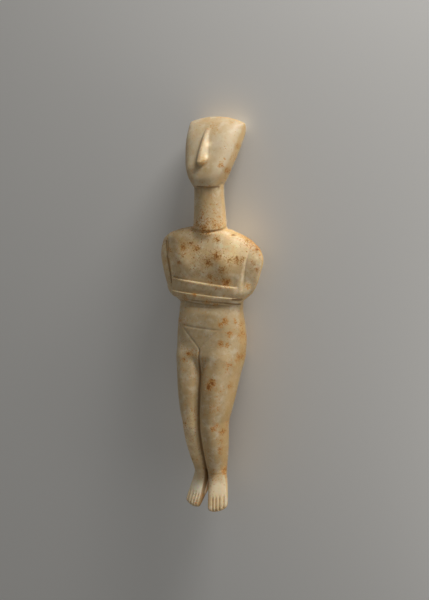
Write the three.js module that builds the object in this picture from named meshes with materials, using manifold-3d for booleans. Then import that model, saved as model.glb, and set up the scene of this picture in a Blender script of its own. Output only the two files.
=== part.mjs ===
// A folded-arm marble figurine of the Early Cycladic kind, carved from one block and lying on its back.
// Millimetres. +X runs to the figure's left, +Y from the toes to the crown, +Z out of its front.
// The origin lies on the resting plane, under the middle of the figure.

import * as THREE from 'three';
import { mergeVertices } from 'three/addons/utils/BufferGeometryUtils.js';
import { SimplifyModifier } from 'three/addons/modifiers/SimplifyModifier.js';
import Module from 'manifold-3d';

// Driving dimensions
const HEIGHT = 620; // toe tips to crown
const REST_FLAT_DEPTH = 1.2; // how far the back is worn flat where it touches the ground
const MARBLE = { color: 0xcdbb95, roughness: 0.5, metalness: 0 };

// Fineness of the carved surface
const CELLS_ALONG = 400; // sampling cells from toes to crown
const TRIANGLES = 9600; // triangles kept after the flat stretches are thinned out

// Every value below is a share of the height: the carving keeps its proportions at any size.
// Depths are measured forwards from an upright line through the middle of the body.

// Section tables, from bottom to top: height, half width, front depth, back depth, middle's place across
const TRUNK = [
  [0.36, 0.083, 0.069, -0.048, 0],
  [0.393, 0.0882, 0.0645, -0.0605, 0],
  [0.435, 0.0913, 0.0615, -0.0657, 0],
  [0.476, 0.0895, 0.058, -0.0595, 0],
  [0.518, 0.0855, 0.051, -0.049, 0],
  [0.534, 0.0865, 0.049, -0.048, 0],
  [0.545, 0.099, 0.0485, -0.048, 0],
  [0.559, 0.1165, 0.048, -0.0485, -0.001],
  [0.576, 0.128, 0.0475, -0.049, -0.0015],
  [0.61, 0.1397, 0.047, -0.05, -0.002],
  [0.65, 0.1473, 0.0465, -0.051, -0.0015],
  [0.68, 0.1395, 0.0435, -0.0495, -0.003],
  [0.698, 0.1178, 0.0405, -0.047, -0.004],
  [0.711, 0.087, 0.037, -0.043, -0.003],
  [0.722, 0.05, 0.032, -0.038, 0],
];
const NECK = [
  [0.69, 0.047, 0.038, -0.033, 0],
  [0.715, 0.0445, 0.046, -0.036, 0],
  [0.75, 0.041, 0.0475, -0.034, 0],
  [0.8, 0.038, 0.0485, -0.028, 0],
  [0.85, 0.037, 0.0495, -0.024, 0],
];
const HEAD = [
  [0.822, 0.032, 0.048, -0.018, 0],
  [0.8335, 0.0385, 0.0562, -0.024, 0],
  [0.847, 0.0465, 0.0585, -0.026, 0],
  [0.867, 0.0552, 0.0555, -0.0295, 0],
  [0.8915, 0.0625, 0.0475, -0.038, 0],
  [0.9165, 0.068, 0.039, -0.048, 0],
  [0.941, 0.072, 0.0305, -0.0575, 0],
  [0.958, 0.074, 0.0225, -0.064, 0],
  [0.973, 0.0756, 0.0125, -0.0665, 0],
  [0.986, 0.0766, 0.002, -0.062, 0],
  [0.995, 0.077, -0.0095, -0.052, 0],
  [1.0, 0.0768, -0.018, -0.044, 0],
];
const LEG = [
  [0.07, 0.0175, 0.03, -0.026, 0.0205],
  [0.096, 0.0198, 0.0345, -0.028, 0.0206],
  [0.139, 0.0234, 0.0515, -0.0265, 0.0238],
  [0.182, 0.0259, 0.0665, -0.0225, 0.0262],
  [0.224, 0.0276, 0.0755, -0.0195, 0.0278],
  [0.267, 0.0325, 0.0775, -0.0265, 0.0326],
  [0.309, 0.0361, 0.0765, -0.037, 0.0362],
  [0.351, 0.0393, 0.072, -0.0485, 0.0392],
  [0.4, 0.0433, 0.0645, -0.0615, 0.0434],
  [0.46, 0.045, 0.059, -0.0635, 0.0445],
];
// How square each section is: 2 is an ellipse, more is nearer a box
const SQUARENESS = { trunk: 2.5, neck: 2, head: 3, leg: 2.4, legInside: 3, foot: 2.6 };

// The crown and the chin are bowed: each height there moves by this much for each squared share across
const CROWN_BOW = { left: 3.7, right: 2.3 };
const CHIN_BOW = -2.5;

// The left shoulder sits lower than the right and the left elbow higher, as the block was cut
const SHOULDERS = { slope: 0.75, level: 0.62, from: 0.48, to: 0.56 };

// Widths over which forms that meet are rounded together
const BLEND = { end: 0.0025, neck: 0.006, jaw: 0.002, cleft: 0.003, web: 0.003, ankle: 0.006, toes: 0.006 };
// The thighs grow out of the trunk between these heights
const HIPS = { from: 0.394, to: 0.436 };
// The cleft between the legs is deep, and this much of their depth stays joined
const WEB = { shareOfDepth: 0.72, shallow: [0.345, 0.41], from: 0.1 };

// Carving on the surface: heights above it, or depths below it
const NOSE = {
  top: 0.973,
  base: 0.882,
  height: 0.0165,
  halfWidthTop: 0.008,
  halfWidthBase: 0.0205,
  flatShare: 0.1,
  rounding: 0.02,
  fallFrom: 0.005,
  fallTo: -0.008,
};
const BREASTS = { across: 0.055, up: 0.638, height: 0.0055, spread: 0.025 };
// The forearms' edges: height at the middle, slope and bend towards the figure's left
const FOREARMS = {
  upperEdge: [0.5865, -0.085, 0],
  middleEdge: [0.5565, -0.055, 0],
  lowerEdge: [0.5355, -0.045, 0.6],
  rise: 0.0032,
  hollow: 0.0032,
  waist: 0.004,
  edge: 0.0022,
  chestFade: 0.035,
  bellyFade: 0.03,
  leftReach: 0.083,
  rightReach: 0.092,
  endFade: 0.015,
};
// The lines between the chest and the upper arms: height, distance across
const LEFT_ARM_LINE = [
  [0.55, 0.1],
  [0.58, 0.1012],
  [0.6, 0.103],
  [0.625, 0.107],
  [0.65, 0.1125],
  [0.67, 0.116],
  [0.7, 0.117],
];
const RIGHT_ARM_LINE = [
  [0.55, 0.095],
  [0.575, 0.0985],
  [0.625, 0.106],
  [0.68, 0.1135],
  [0.7, 0.116],
];
const UPPER_ARM = {
  low: 0.574,
  high: 0.692,
  lowFade: 0.025,
  highFade: 0.014,
  setBack: 0.015,
  step: 0.003,
  back: 0.05,
  shareBehind: 0.7,
};
const CHEST_ROLL = { depth: 0.006, width: 0.045 };
const NECK_LINE = { front: 0.7135, rise: 0.25, depth: 0.003, width: 0.003, reach: 0.052, fade: 0.008 };
const PUBIC = { halfWidth: 0.056, top: 0.4735, point: 0.421, tilt: -0.05, depth: 0.0016, width: 0.0026 };
const SPINE = { from: 0.44, to: 0.7, fade: 0.05, depth: 0.0032, width: 0.008 };
const RELIEF_STARTS = [0.002, 0.012]; // it fades out on the sides, between these depths

// Each foot hangs from its ankle, with the toes down, and the left one is turned further out
const LEFT_FOOT = { ankle: [0.0215, 0.086, 0.002], splayDegrees: 28, droopDegrees: 57 };
const RIGHT_FOOT = { ankle: [0.018, 0.0868, -0.0033], splayDegrees: 6.5, droopDegrees: 51 };
const FEET_END = 0.16; // height above which no foot reaches
const TOES = { bow: 11, longest: -0.009 }; // how the toe tips curve back from the longest
// Along the foot from ankle to toe tips: distance, half width, top, sole
const FOOT_SECTIONS = [
  [-0.02, 0.016, 0.02, -0.02],
  [0, 0.0195, 0.03, -0.028],
  [0.03, 0.0242, 0.0225, -0.024],
  [0.06, 0.0254, 0.0145, -0.017],
  [0.085, 0.0256, 0.009, -0.0115],
  [0.1, 0.0245, 0.005, -0.007],
];
// The grooves between the toes, as shares of the half width from the big toe outwards
const TOE_GROOVES = { shares: [-0.52, -0.2, 0.17, 0.6], from: 0.062, fade: 0.012, depth: 0.003, width: 0.0015 };

// Smooth curves through the section tables, sampled once
const SAMPLES = 600;

function slopesOf(xs, ys) {
  const last = xs.length - 1;
  const secant = xs.slice(1).map((x, i) => (ys[i + 1] - ys[i]) / (x - xs[i]));
  return xs.map((x, i) => {
    if (i === 0) return secant[0];
    if (i === last) return secant[last - 1];
    const [a, b] = [secant[i - 1], secant[i]];
    return a * b <= 0 ? 0 : (2 * a * b) / (a + b);
  });
}

// A monotone curve through the points, as a table of evenly spaced samples
function curve(xs, ys) {
  const slopes = slopesOf(xs, ys);
  const from = xs[0];
  const span = xs[xs.length - 1] - from;
  const table = new Float64Array(SAMPLES + 1);
  let k = 0;
  for (let i = 0; i <= SAMPLES; i++) {
    const x = from + (span * i) / SAMPLES;
    while (k < xs.length - 2 && x > xs[k + 1]) k++;
    const h = xs[k + 1] - xs[k];
    const t = (x - xs[k]) / h;
    const u = 1 - t;
    table[i] =
      ys[k] * u * u * (1 + 2 * t) +
      slopes[k] * h * t * u * u +
      ys[k + 1] * t * t * (3 - 2 * t) -
      slopes[k + 1] * h * t * t * u;
  }
  return (x) => {
    const s = Math.min(Math.max(((x - from) / span) * SAMPLES, 0), SAMPLES - 1e-9);
    const i = Math.floor(s);
    return table[i] + (table[i + 1] - table[i]) * (s - i);
  };
}

function curvesOf(rows) {
  const xs = rows.map((row) => row[0]);
  const values = rows[0].slice(1).map((_, c) => curve(xs, rows.map((row) => row[c + 1])));
  return { from: xs[0], to: xs[xs.length - 1], values };
}

const clamp01 = (t) => Math.min(Math.max(t, 0), 1);
const smooth = (a, b, x) => {
  const t = clamp01((x - a) / (b - a));
  return t * t * (3 - 2 * t);
};
// The nearer of two forms, rounded where they meet over about this width
const blend = (a, b, width) => {
  const h = Math.max(width - Math.abs(a - b), 0) / width;
  return Math.min(a, b) - (h * h * width) / 4;
};
const cutBy = (a, b, width) => -blend(-a, -b, width);
const notch = (distance, width) => Math.exp(-((distance / width) ** 2));

// Roughly the distance to a rounded section with this middle and half sizes: below zero inside
function section(dx, dz, halfWidth, halfDepth, power) {
  const u = Math.abs(dx) / halfWidth;
  const v = Math.abs(dz) / halfDepth;
  const sum = u ** power + v ** power;
  if (sum < 1e-6) return -Math.min(halfWidth, halfDepth);
  const r = sum ** (1 / power);
  const gx = (u / r) ** (power - 1) / halfWidth;
  const gz = (v / r) ** (power - 1) / halfDepth;
  return (r - 1) / Math.hypot(gx, gz);
}

// A form with one section table, upright along y
function lofted(rows, squareness, squarenessInside = squareness) {
  const { from, to, values } = curvesOf(rows);
  const [half, front, back, aside] = values;
  return (x, y, z) => {
    const f = front(y);
    const b = back(y);
    const across = x - aside(y);
    const power = across < 0 ? squarenessInside : squareness;
    const side = section(across, z - (f + b) / 2, half(y), (f - b) / 2, power);
    return cutBy(side, Math.max(y - to, from - y), BLEND.end);
  };
}

const straightTrunk = lofted(TRUNK, SQUARENESS.trunk);
const neck = lofted(NECK, SQUARENESS.neck);
const straightHead = lofted(HEAD, SQUARENESS.head);
const leg = lofted(LEG, SQUARENESS.leg, SQUARENESS.legInside);
const [legHalf, legFront, legBack] = curvesOf(LEG).values;
const [leftArmLine] = curvesOf(LEFT_ARM_LINE).values;
const [rightArmLine] = curvesOf(RIGHT_ARM_LINE).values;

function trunk(x, y, z) {
  const fade = smooth(SHOULDERS.from, SHOULDERS.to, y);
  return straightTrunk(x, y + SHOULDERS.slope * x * (y - SHOULDERS.level) * fade, z);
}

function bowed(x, y) {
  const from = HEAD[0][0];
  const crownBow = x > 0 ? CROWN_BOW.left : CROWN_BOW.right;
  const bow = CHIN_BOW + (crownBow - CHIN_BOW) * clamp01((y - from) / (1 - from));
  return y + bow * x * x;
}

// The long wedge of the nose, as a height on the face, and nothing behind this depth
const NOSE_BEHIND = -0.01;

function nose(x, y, z) {
  if (z < NOSE_BEHIND) return 0;
  const down = clamp01((NOSE.top - y) / (NOSE.top - NOSE.base));
  const u = Math.abs(x) / (NOSE.halfWidthTop + (NOSE.halfWidthBase - NOSE.halfWidthTop) * down);
  const base = NOSE.base + NOSE.rounding * u * u;
  const end = smooth(base + NOSE.fallTo, base + NOSE.fallFrom, y);
  return NOSE.height * Math.sin((down * Math.PI) / 2) ** 0.9 * (1 - smooth(NOSE.flatShare, 1, u)) * end;
}

const head = (x, y, z) => straightHead(x, bowed(x, y), z) - nose(x, y, z);

// A foot in its own frame: along to the toes, across to the little toe, up to the instep
const [footHalf, footTop, footSole] = curvesOf(FOOT_SECTIONS).values;
const [footFrom, footTo] = [FOOT_SECTIONS[0][0], FOOT_SECTIONS[FOOT_SECTIONS.length - 1][0]];

function footOf({ ankle, splayDegrees, droopDegrees }) {
  const splay = THREE.MathUtils.degToRad(splayDegrees);
  const droop = THREE.MathUtils.degToRad(droopDegrees);
  const [sinSplay, cosSplay] = [Math.sin(splay), Math.cos(splay)];
  const [sinDroop, cosDroop] = [Math.sin(droop), Math.cos(droop)];
  return (x, y, z) => {
    const [dx, dy, dz] = [x - ankle[0], y - ankle[1], z - ankle[2]];
    const ahead = dx * sinSplay + dz * cosSplay;
    const across = dx * cosSplay - dz * sinSplay;
    const up = ahead * sinDroop + dy * cosDroop;
    const along = ahead * cosDroop - dy * sinDroop + TOES.bow * (across - TOES.longest) ** 2;
    const half = footHalf(along);
    const top = footTop(along);
    const sole = footSole(along);
    const side = section(across, up - (top + sole) / 2, half, (top - sole) / 2, SQUARENESS.foot);
    const whole = cutBy(side, Math.max(along - footTo, footFrom - along), BLEND.toes);
    if (up < 0) return whole;
    const { shares, from, fade, depth, width } = TOE_GROOVES;
    const grooves = shares.map((share) => notch(across - share * half, width));
    return whole + Math.max(...grooves) * depth * smooth(from, from + fade, along);
  };
}

const leftFoot = footOf(LEFT_FOOT);
const rightFoot = footOf(RIGHT_FOOT);

const lineAt = ([middle, slope, bend], x) => middle + slope * x + bend * x * x;

// Each forearm's upper edge stands proud of what is above it, and its face falls back below the edge
function forearms(x, y) {
  const { rise, hollow, waist, edge, endFade } = FOREARMS;
  const upper = lineAt(FOREARMS.upperEdge, x);
  const middle = lineAt(FOREARMS.middleEdge, x);
  const lower = lineAt(FOREARMS.lowerEdge, x);
  const onUpper = smooth(upper + edge, upper - edge * 0.3, y);
  const onLower = smooth(middle + edge, middle - edge * 0.3, y);
  const onWaist = smooth(lower + edge, lower - edge, y);
  const upperFace = rise * (1 - clamp01((upper - y) / (upper - middle)));
  const lowerFace = rise * (1.1 - 0.8 * clamp01((middle - y) / (middle - lower)) ** 2);
  const chest = -hollow * smooth(upper + FOREARMS.chestFade, upper, y);
  const belly = -waist * smooth(lower - FOREARMS.bellyFade, lower, y);
  const above = chest * (1 - onUpper) + upperFace * onUpper * (1 - onLower);
  const below = lowerFace * onLower * (1 - onWaist) + belly * onWaist;
  const reach = x > 0 ? FOREARMS.leftReach : FOREARMS.rightReach;
  return (above + below) * (1 - smooth(reach, reach + endFade, Math.abs(x)));
}

// The chest rolls back towards the line of each upper arm. The arm lies deeper there, most at the elbow,
// and comes forward again further out
function upperArms(x, y) {
  const { low, high, lowFade, highFade, setBack, step, back } = UPPER_ARM;
  const out = x > 0 ? x - leftArmLine(y) : -x - rightArmLine(y);
  const along = smooth(low - lowFade, low + lowFade, y) * (1 - smooth(high - highFade, high + highFade, y));
  const deeper = setBack * (1 - smooth(low, high, y) / 2) - CHEST_ROLL.depth;
  const stepped = CHEST_ROLL.depth * smooth(-CHEST_ROLL.width, 0, out) + deeper * smooth(-step, step, out);
  return -along * stepped * (1 - smooth(step, back, out));
}

function breasts(x, y) {
  const r = Math.hypot(Math.abs(x) - BREASTS.across, (y - BREASTS.up) * 0.9) / BREASTS.spread;
  return BREASTS.height * Math.exp(-r * r);
}

function pubicTriangle(x, y) {
  const side = Math.abs(x) / PUBIC.halfWidth;
  const drop = PUBIC.top - PUBIC.point;
  const diagonal = PUBIC.point + drop * side ** 0.9;
  const top = notch(y - PUBIC.tilt * x - PUBIC.top, PUBIC.width);
  const lower = notch((y - diagonal) / Math.hypot(1, drop / PUBIC.halfWidth), PUBIC.width);
  return -PUBIC.depth * Math.max(top, lower) * (1 - smooth(0.92, 1.08, side));
}

const frontRelief = (x, y) => forearms(x, y) + upperArms(x, y) + breasts(x, y) + pubicTriangle(x, y);

function backRelief(x, y) {
  const { from, to, fade, depth, width } = SPINE;
  const along = smooth(from, from + fade, y) * (1 - smooth(to - fade, to, y));
  return upperArms(x, y) * UPPER_ARM.shareBehind - depth * along * notch(x, width);
}

// The groove round the foot of the neck, lowest in front
const NECK_FRONT = NECK[1][2];

function neckLine(x, y, z) {
  const { front, rise, depth, width, reach, fade } = NECK_LINE;
  const height = front + rise * (NECK_FRONT - z);
  return depth * notch(y - height, width) * (1 - smooth(reach - fade, reach, Math.abs(x)));
}

// Both legs, joined by a web at the bottom of the cleft between them
function legs(x, y, z) {
  const side = Math.abs(x);
  let form = blend(leg(side, y, z), leg(-side, y, z), BLEND.cleft);
  const middle = (legFront(y) + legBack(y)) / 2;
  const share = WEB.shareOfDepth + (1 - WEB.shareOfDepth) * smooth(...WEB.shallow, y);
  const halfDepth = ((legFront(y) - legBack(y)) / 2) * share;
  const web = Math.max(side - legHalf(y), Math.abs(z - middle) - halfDepth, WEB.from - y);
  form = blend(form, web, BLEND.web);
  if (y > FEET_END) return form;
  return blend(form, Math.min(leftFoot(x, y, z), rightFoot(-x, y, z)), BLEND.ankle);
}

// The whole figure: below zero inside
const WAIST = 0.5; // height where the upper half's forms take over from the lower half's

function figure(x, y, z) {
  let form;
  if (y > WAIST) {
    form = blend(trunk(x, y, z), neck(x, y, z), BLEND.neck);
    form = blend(form, head(x, y, z), BLEND.jaw) + neckLine(x, y, z);
  } else {
    const share = smooth(HIPS.from, HIPS.to, y);
    form = share > 0 ? trunk(x, y, z) * share : 0;
    if (share < 1) form += legs(x, y, z) * (1 - share);
  }
  const relief = z > 0 ? frontRelief(x, y) : backRelief(x, y);
  return form - relief * smooth(...RELIEF_STARTS, Math.abs(z));
}

// A box round the whole figure, worked out from the tables
const BOX_MARGIN = 0.012;

function samplingBox() {
  const rows = [...TRUNK, ...NECK, ...HEAD, ...LEG];
  const across = Math.max(...rows.map(([, half, , , aside]) => half + Math.abs(aside))) + BOX_MARGIN;
  const front = Math.max(...rows.map((row) => row[2])) + NOSE.height;
  const back = Math.min(...rows.map((row) => row[3]));
  const toes = [LEFT_FOOT, RIGHT_FOOT].map(({ ankle, droopDegrees }) => {
    const droop = THREE.MathUtils.degToRad(droopDegrees);
    return [ankle[1] - footTo * Math.sin(droop), ankle[2] + footTo * Math.cos(droop)];
  });
  const lowest = Math.min(...toes.map(([up]) => up));
  const furthest = Math.max(front, ...toes.map(([, forward]) => forward + FOOT_SECTIONS[0][2]));
  return {
    low: [-across, lowest - BOX_MARGIN, back - BOX_MARGIN],
    high: [across, HEAD[HEAD.length - 1][0] + BOX_MARGIN, furthest + BOX_MARGIN],
  };
}

// Samples the form on a grid and joins a vertex in each cell that the surface crosses
function surfaceOf(field, low, high, cell) {
  const size = high.map((h, k) => Math.ceil((h - low[k]) / cell) + 1);
  const [nx, ny, nz] = size;
  const at = (i, j, k) => (k * ny + j) * nx + i;
  const values = new Float32Array(nx * ny * nz);
  for (let k = 0; k < nz; k++) {
    for (let j = 0; j < ny; j++) {
      for (let i = 0; i < nx; i++) {
        values[at(i, j, k)] = field(low[0] + i * cell, low[1] + j * cell, low[2] + k * cell);
      }
    }
  }
  const corners = [...Array(2 ** 3).keys()].map((c) => [c & 1, (c >> 1) & 1, c >> 2]);
  const edges = [];
  for (const a of corners.keys()) {
    for (const bit of [1, 2, 4]) {
      if (!(a & bit)) edges.push([a, a | bit]);
    }
  }
  const vertexOf = new Int32Array(values.length).fill(-1);
  const positions = [];
  for (let k = 0; k < nz - 1; k++) {
    for (let j = 0; j < ny - 1; j++) {
      for (let i = 0; i < nx - 1; i++) {
        const corner = corners.map(([a, b, c]) => values[at(i + a, j + b, k + c)]);
        let crossings = 0;
        const sum = [0, 0, 0];
        for (const [a, b] of edges) {
          if (corner[a] < 0 === corner[b] < 0) continue;
          const t = corner[a] / (corner[a] - corner[b]);
          for (let d = 0; d < 3; d++) {
            sum[d] += corners[a][d] + t * (corners[b][d] - corners[a][d]);
          }
          crossings++;
        }
        if (!crossings) continue;
        vertexOf[at(i, j, k)] = positions.length / 3;
        const point = [i, j, k].map((n, d) => low[d] + (n + sum[d] / crossings) * cell);
        positions.push(...settle(field, point, cell));
      }
    }
  }
  const index = [];
  const steps = [at(1, 0, 0), at(0, 1, 0), at(0, 0, 1)];
  for (let k = 1; k < nz - 1; k++) {
    for (let j = 1; j < ny - 1; j++) {
      for (let i = 1; i < nx - 1; i++) {
        const here = at(i, j, k);
        for (let d = 0; d < 3; d++) {
          const inside = values[here] < 0;
          if (inside === values[here + steps[d]] < 0) continue;
          const [u, v] = [steps[(d + 1) % 3], steps[(d + 2) % 3]];
          const ring = [here - u - v, here - v, here, here - u].map((n) => vertexOf[n]);
          if (!inside) ring.reverse();
          index.push(ring[0], ring[1], ring[2], ring[0], ring[2], ring[3]);
        }
      }
    }
  }
  const geometry = new THREE.BufferGeometry();
  geometry.setAttribute('position', new THREE.Float32BufferAttribute(positions, 3));
  geometry.setIndex(index);
  return geometry;
}

// Moves a point onto the surface, by no more than a cell
function settle(field, point, cell) {
  const p = [...point];
  const e = cell * 0.05;
  for (let turn = 0; turn < 3; turn++) {
    const value = field(...p);
    const slope = [0, 1, 2].map((d) => {
      const q = [...p];
      q[d] += e;
      return (field(...q) - value) / e;
    });
    const square = slope[0] ** 2 + slope[1] ** 2 + slope[2] ** 2;
    if (square < 1e-6) break;
    const step = Math.max(-0.5 * cell, Math.min(0.5 * cell, value / Math.sqrt(square)));
    for (let d = 0; d < 3; d++) p[d] -= (step * slope[d]) / Math.sqrt(square);
  }
  return p.map((v, d) => Math.max(point[d] - 0.6 * cell, Math.min(point[d] + 0.6 * cell, v)));
}

function solidOf(wasm, geometry) {
  const merged = mergeVertices(geometry);
  const vertProperties = new Float32Array(merged.attributes.position.array);
  const triVerts = new Uint32Array(merged.index.array);
  return new wasm.Manifold(new wasm.Mesh({ numProp: 3, vertProperties, triVerts }));
}

function boxOf(size, centre) {
  const box = new THREE.BoxGeometry(...size).translate(...centre);
  return box.deleteAttribute('normal').deleteAttribute('uv');
}

function geometryOf(solid) {
  const { numProp, numVert, vertProperties, triVerts } = solid.getMesh();
  const positions = new Float32Array(numVert * 3);
  for (let i = 0; i < numVert; i++) {
    positions.set(vertProperties.subarray(i * numProp, i * numProp + 3), i * 3);
  }
  const geometry = new THREE.BufferGeometry();
  geometry.setAttribute('position', new THREE.BufferAttribute(positions, 3));
  geometry.setIndex(new THREE.BufferAttribute(triVerts, 1));
  geometry.computeVertexNormals();
  return geometry;
}

async function figurine() {
  const cell = 1 / CELLS_ALONG;
  const { low, high } = samplingBox();
  const carved = surfaceOf(figure, low, high, cell);
  const spare = carved.attributes.position.count - TRIANGLES / 2;
  const thinned = await new SimplifyModifier().modify(carved, spare);
  thinned.scale(HEIGHT, HEIGHT, HEIGHT);
  thinned.computeBoundingBox();
  const { min, max } = thinned.boundingBox;
  const middle = thinned.boundingBox.getCenter(new THREE.Vector3());
  thinned.translate(-middle.x, -middle.y, -min.z - REST_FLAT_DEPTH);

  const wasm = await Module();
  wasm.setup();
  const ground = boxOf([HEIGHT, HEIGHT * 2, HEIGHT], [0, 0, -HEIGHT / 2]);
  const rested = solidOf(wasm, thinned).subtract(solidOf(wasm, ground));
  const mesh = new THREE.Mesh(geometryOf(rested), new THREE.MeshStandardMaterial(MARBLE));
  mesh.name = 'marble_figurine';
  return mesh;
}

const model = new THREE.Group();
model.add(await figurine());

export default model;
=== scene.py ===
"""The looks of a marble folded-arm figurine that lies on its back on a pale floor.

The figure is worked out again from its named forms, finer than its solid, and cut to the same box.
Shares are of the figure's height: x to its left, y from the toes to the crown, z out of its front.
"""

import bpy
import numpy as np
from mathutils import Matrix, Vector


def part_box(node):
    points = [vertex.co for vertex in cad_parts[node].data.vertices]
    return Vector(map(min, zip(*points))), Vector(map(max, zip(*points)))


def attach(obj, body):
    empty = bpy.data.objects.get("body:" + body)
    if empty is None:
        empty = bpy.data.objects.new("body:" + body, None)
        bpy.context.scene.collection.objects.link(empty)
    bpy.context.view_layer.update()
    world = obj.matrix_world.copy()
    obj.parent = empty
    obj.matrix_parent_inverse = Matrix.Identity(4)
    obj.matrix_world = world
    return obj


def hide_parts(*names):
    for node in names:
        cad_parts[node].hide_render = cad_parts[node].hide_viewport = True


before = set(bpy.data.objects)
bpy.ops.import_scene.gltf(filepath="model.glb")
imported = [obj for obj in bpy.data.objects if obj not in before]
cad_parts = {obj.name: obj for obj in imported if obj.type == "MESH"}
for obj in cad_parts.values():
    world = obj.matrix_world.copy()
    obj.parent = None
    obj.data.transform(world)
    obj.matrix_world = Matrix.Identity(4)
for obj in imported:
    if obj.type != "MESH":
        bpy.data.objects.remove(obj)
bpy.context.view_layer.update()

NODE = "marble_figurine"
LOW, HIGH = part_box(NODE)
HEIGHT = HIGH.y - LOW.y

# Fineness of the carved surface
CELLS_ALONG = 620
FACES_KEPT = 188000
BLOCK = 12  # cells in one side of a sampling block
BLOCK_REACH = 2.5  # half blocks from the middle within which the surface may cross a block
SLOPE_STEP = 0.05  # cells between the two places that a slope is taken from
SETTLE_ROUNDS = 3
SETTLE_STEP = 0.5  # cells that a point moves in one round at most
SETTLE_REACH = 0.6  # cells that a point moves in all at most
INSET = 0.00002  # metres between the carved surface and the box of its solid
BODY_MIDDLE = HIGH.z - 0.0775 * HEIGHT  # how high the line through the body lies
# Bulges painted on it: rounds of easing that they stand out of, metres of bulge that count as 1
BULGES = {"fine_bulge": (6, 0.0006), "hollow": (40, 0.002)}
GRID_LOW = (-0.165, -0.03, -0.085)
GRID_HIGH = (0.165, 1.03, 0.1)

# Section tables: height, half width, front depth, back depth, middle's place across
TRUNK = [
    [0.36, 0.083, 0.069, -0.048, 0],
    [0.393, 0.0882, 0.0645, -0.0605, 0],
    [0.435, 0.0913, 0.0615, -0.0657, 0],
    [0.476, 0.0895, 0.058, -0.0595, 0],
    [0.518, 0.0855, 0.051, -0.049, 0],
    [0.534, 0.0865, 0.049, -0.048, 0],
    [0.545, 0.099, 0.0485, -0.048, 0],
    [0.559, 0.1165, 0.048, -0.0485, -0.001],
    [0.576, 0.128, 0.0475, -0.049, -0.0015],
    [0.61, 0.1397, 0.047, -0.05, -0.002],
    [0.65, 0.1473, 0.0465, -0.051, -0.0015],
    [0.68, 0.1395, 0.0435, -0.0495, -0.003],
    [0.698, 0.1178, 0.0405, -0.047, -0.004],
    [0.711, 0.087, 0.037, -0.043, -0.003],
    [0.722, 0.05, 0.032, -0.038, 0],
]
NECK = [
    [0.69, 0.047, 0.038, -0.033, 0],
    [0.715, 0.0445, 0.046, -0.036, 0],
    [0.75, 0.041, 0.0475, -0.034, 0],
    [0.8, 0.038, 0.0485, -0.028, 0],
    [0.85, 0.037, 0.0495, -0.024, 0],
]
HEAD = [
    [0.822, 0.032, 0.048, -0.018, 0],
    [0.8335, 0.0385, 0.0562, -0.024, 0],
    [0.847, 0.0465, 0.0585, -0.026, 0],
    [0.867, 0.0552, 0.0555, -0.0295, 0],
    [0.8915, 0.0625, 0.0475, -0.038, 0],
    [0.9165, 0.068, 0.039, -0.048, 0],
    [0.941, 0.072, 0.0305, -0.0575, 0],
    [0.958, 0.074, 0.0225, -0.064, 0],
    [0.973, 0.0756, 0.0125, -0.0665, 0],
    [0.986, 0.0766, 0.002, -0.062, 0],
    [0.995, 0.077, -0.0095, -0.052, 0],
    [1.0, 0.0768, -0.018, -0.044, 0],
]
LEG = [
    [0.07, 0.0175, 0.03, -0.026, 0.0205],
    [0.096, 0.0198, 0.0345, -0.028, 0.0206],
    [0.139, 0.0234, 0.0515, -0.0265, 0.0238],
    [0.182, 0.0259, 0.0665, -0.0225, 0.0262],
    [0.224, 0.0276, 0.0755, -0.0195, 0.0278],
    [0.267, 0.0325, 0.0775, -0.0265, 0.0326],
    [0.309, 0.0361, 0.0765, -0.037, 0.0362],
    [0.351, 0.0393, 0.072, -0.0485, 0.0392],
    [0.4, 0.0433, 0.0645, -0.0615, 0.0434],
    [0.46, 0.045, 0.059, -0.0635, 0.0445],
]
# How square each section is: 2 is an ellipse, more is nearer a box
SQUARENESS = {"trunk": 2.5, "neck": 2, "head": 3, "leg": 2.4, "leg_inside": 3, "foot": 2.6}
CROWN_BOW = {"left": 3.7, "right": 2.3}
CHIN_BOW = -2.5
SHOULDERS = {"slope": 0.75, "level": 0.62, "start": 0.48, "end": 0.56}

# Widths over which forms that meet are rounded together
BLEND = {
    "end": 0.0025,
    "neck": 0.006,
    "jaw": 0.002,
    "cleft": 0.003,
    "web": 0.003,
    "ankle": 0.006,
    "toes": 0.006,
}
HIPS = {"start": 0.394, "end": 0.436}
WEB = {"share_of_depth": 0.72, "shallow": (0.345, 0.41), "start": 0.1}
ANKLES_END = 0.16  # the feet are worked out only below this
WAIST = 0.5  # the arms and head are worked out only above this

# Carving on the surface
NOSE = {
    "top": 0.973,
    "base": 0.882,
    "height": 0.0165,
    "half_top": 0.008,
    "half_base": 0.0205,
    "flat": 0.1,
    "fullness": 0.9,
    "rounding": 0.02,
    "underside": (-0.008, 0.005),
    "behind": -0.01,
}
BREASTS = {"across": 0.055, "up": 0.638, "height": 0.0055, "spread": 0.025, "lengthening": 0.9}
FOREARMS = {
    "upper": (0.5865, -0.085, 0),
    "middle": (0.5565, -0.055, 0),
    "lower": (0.5355, -0.045, 0.6),
    "rise": 0.0032,
    "lower_rise": 1.1,
    "lower_fall": 0.8,
    "hollow": 0.0032,
    "hollow_length": 0.035,
    "waist": 0.004,
    "waist_length": 0.03,
    "edge": 0.0015,
    "sharper": 0.3,
    "near_reach": 0.083,
    "far_reach": 0.092,
    "fade": 0.013,
}
FINGERTIPS = {"across": 0.09, "up": 0.551, "height": 0.0012, "long": 0.006, "wide": 0.0024}
ELBOW_PIT = {"across": 0.0985, "up": 0.5495, "height": -0.006, "long": 0.004, "wide": 0.004}
# The lines between the chest and the upper arms: height, distance across
LEFT_ARM_LINE = [
    [0.55, 0.1],
    [0.58, 0.1012],
    [0.6, 0.103],
    [0.625, 0.107],
    [0.65, 0.1125],
    [0.67, 0.116],
    [0.7, 0.117],
]
RIGHT_ARM_LINE = [
    [0.55, 0.095],
    [0.575, 0.0985],
    [0.625, 0.106],
    [0.68, 0.1135],
    [0.7, 0.116],
]
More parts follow.
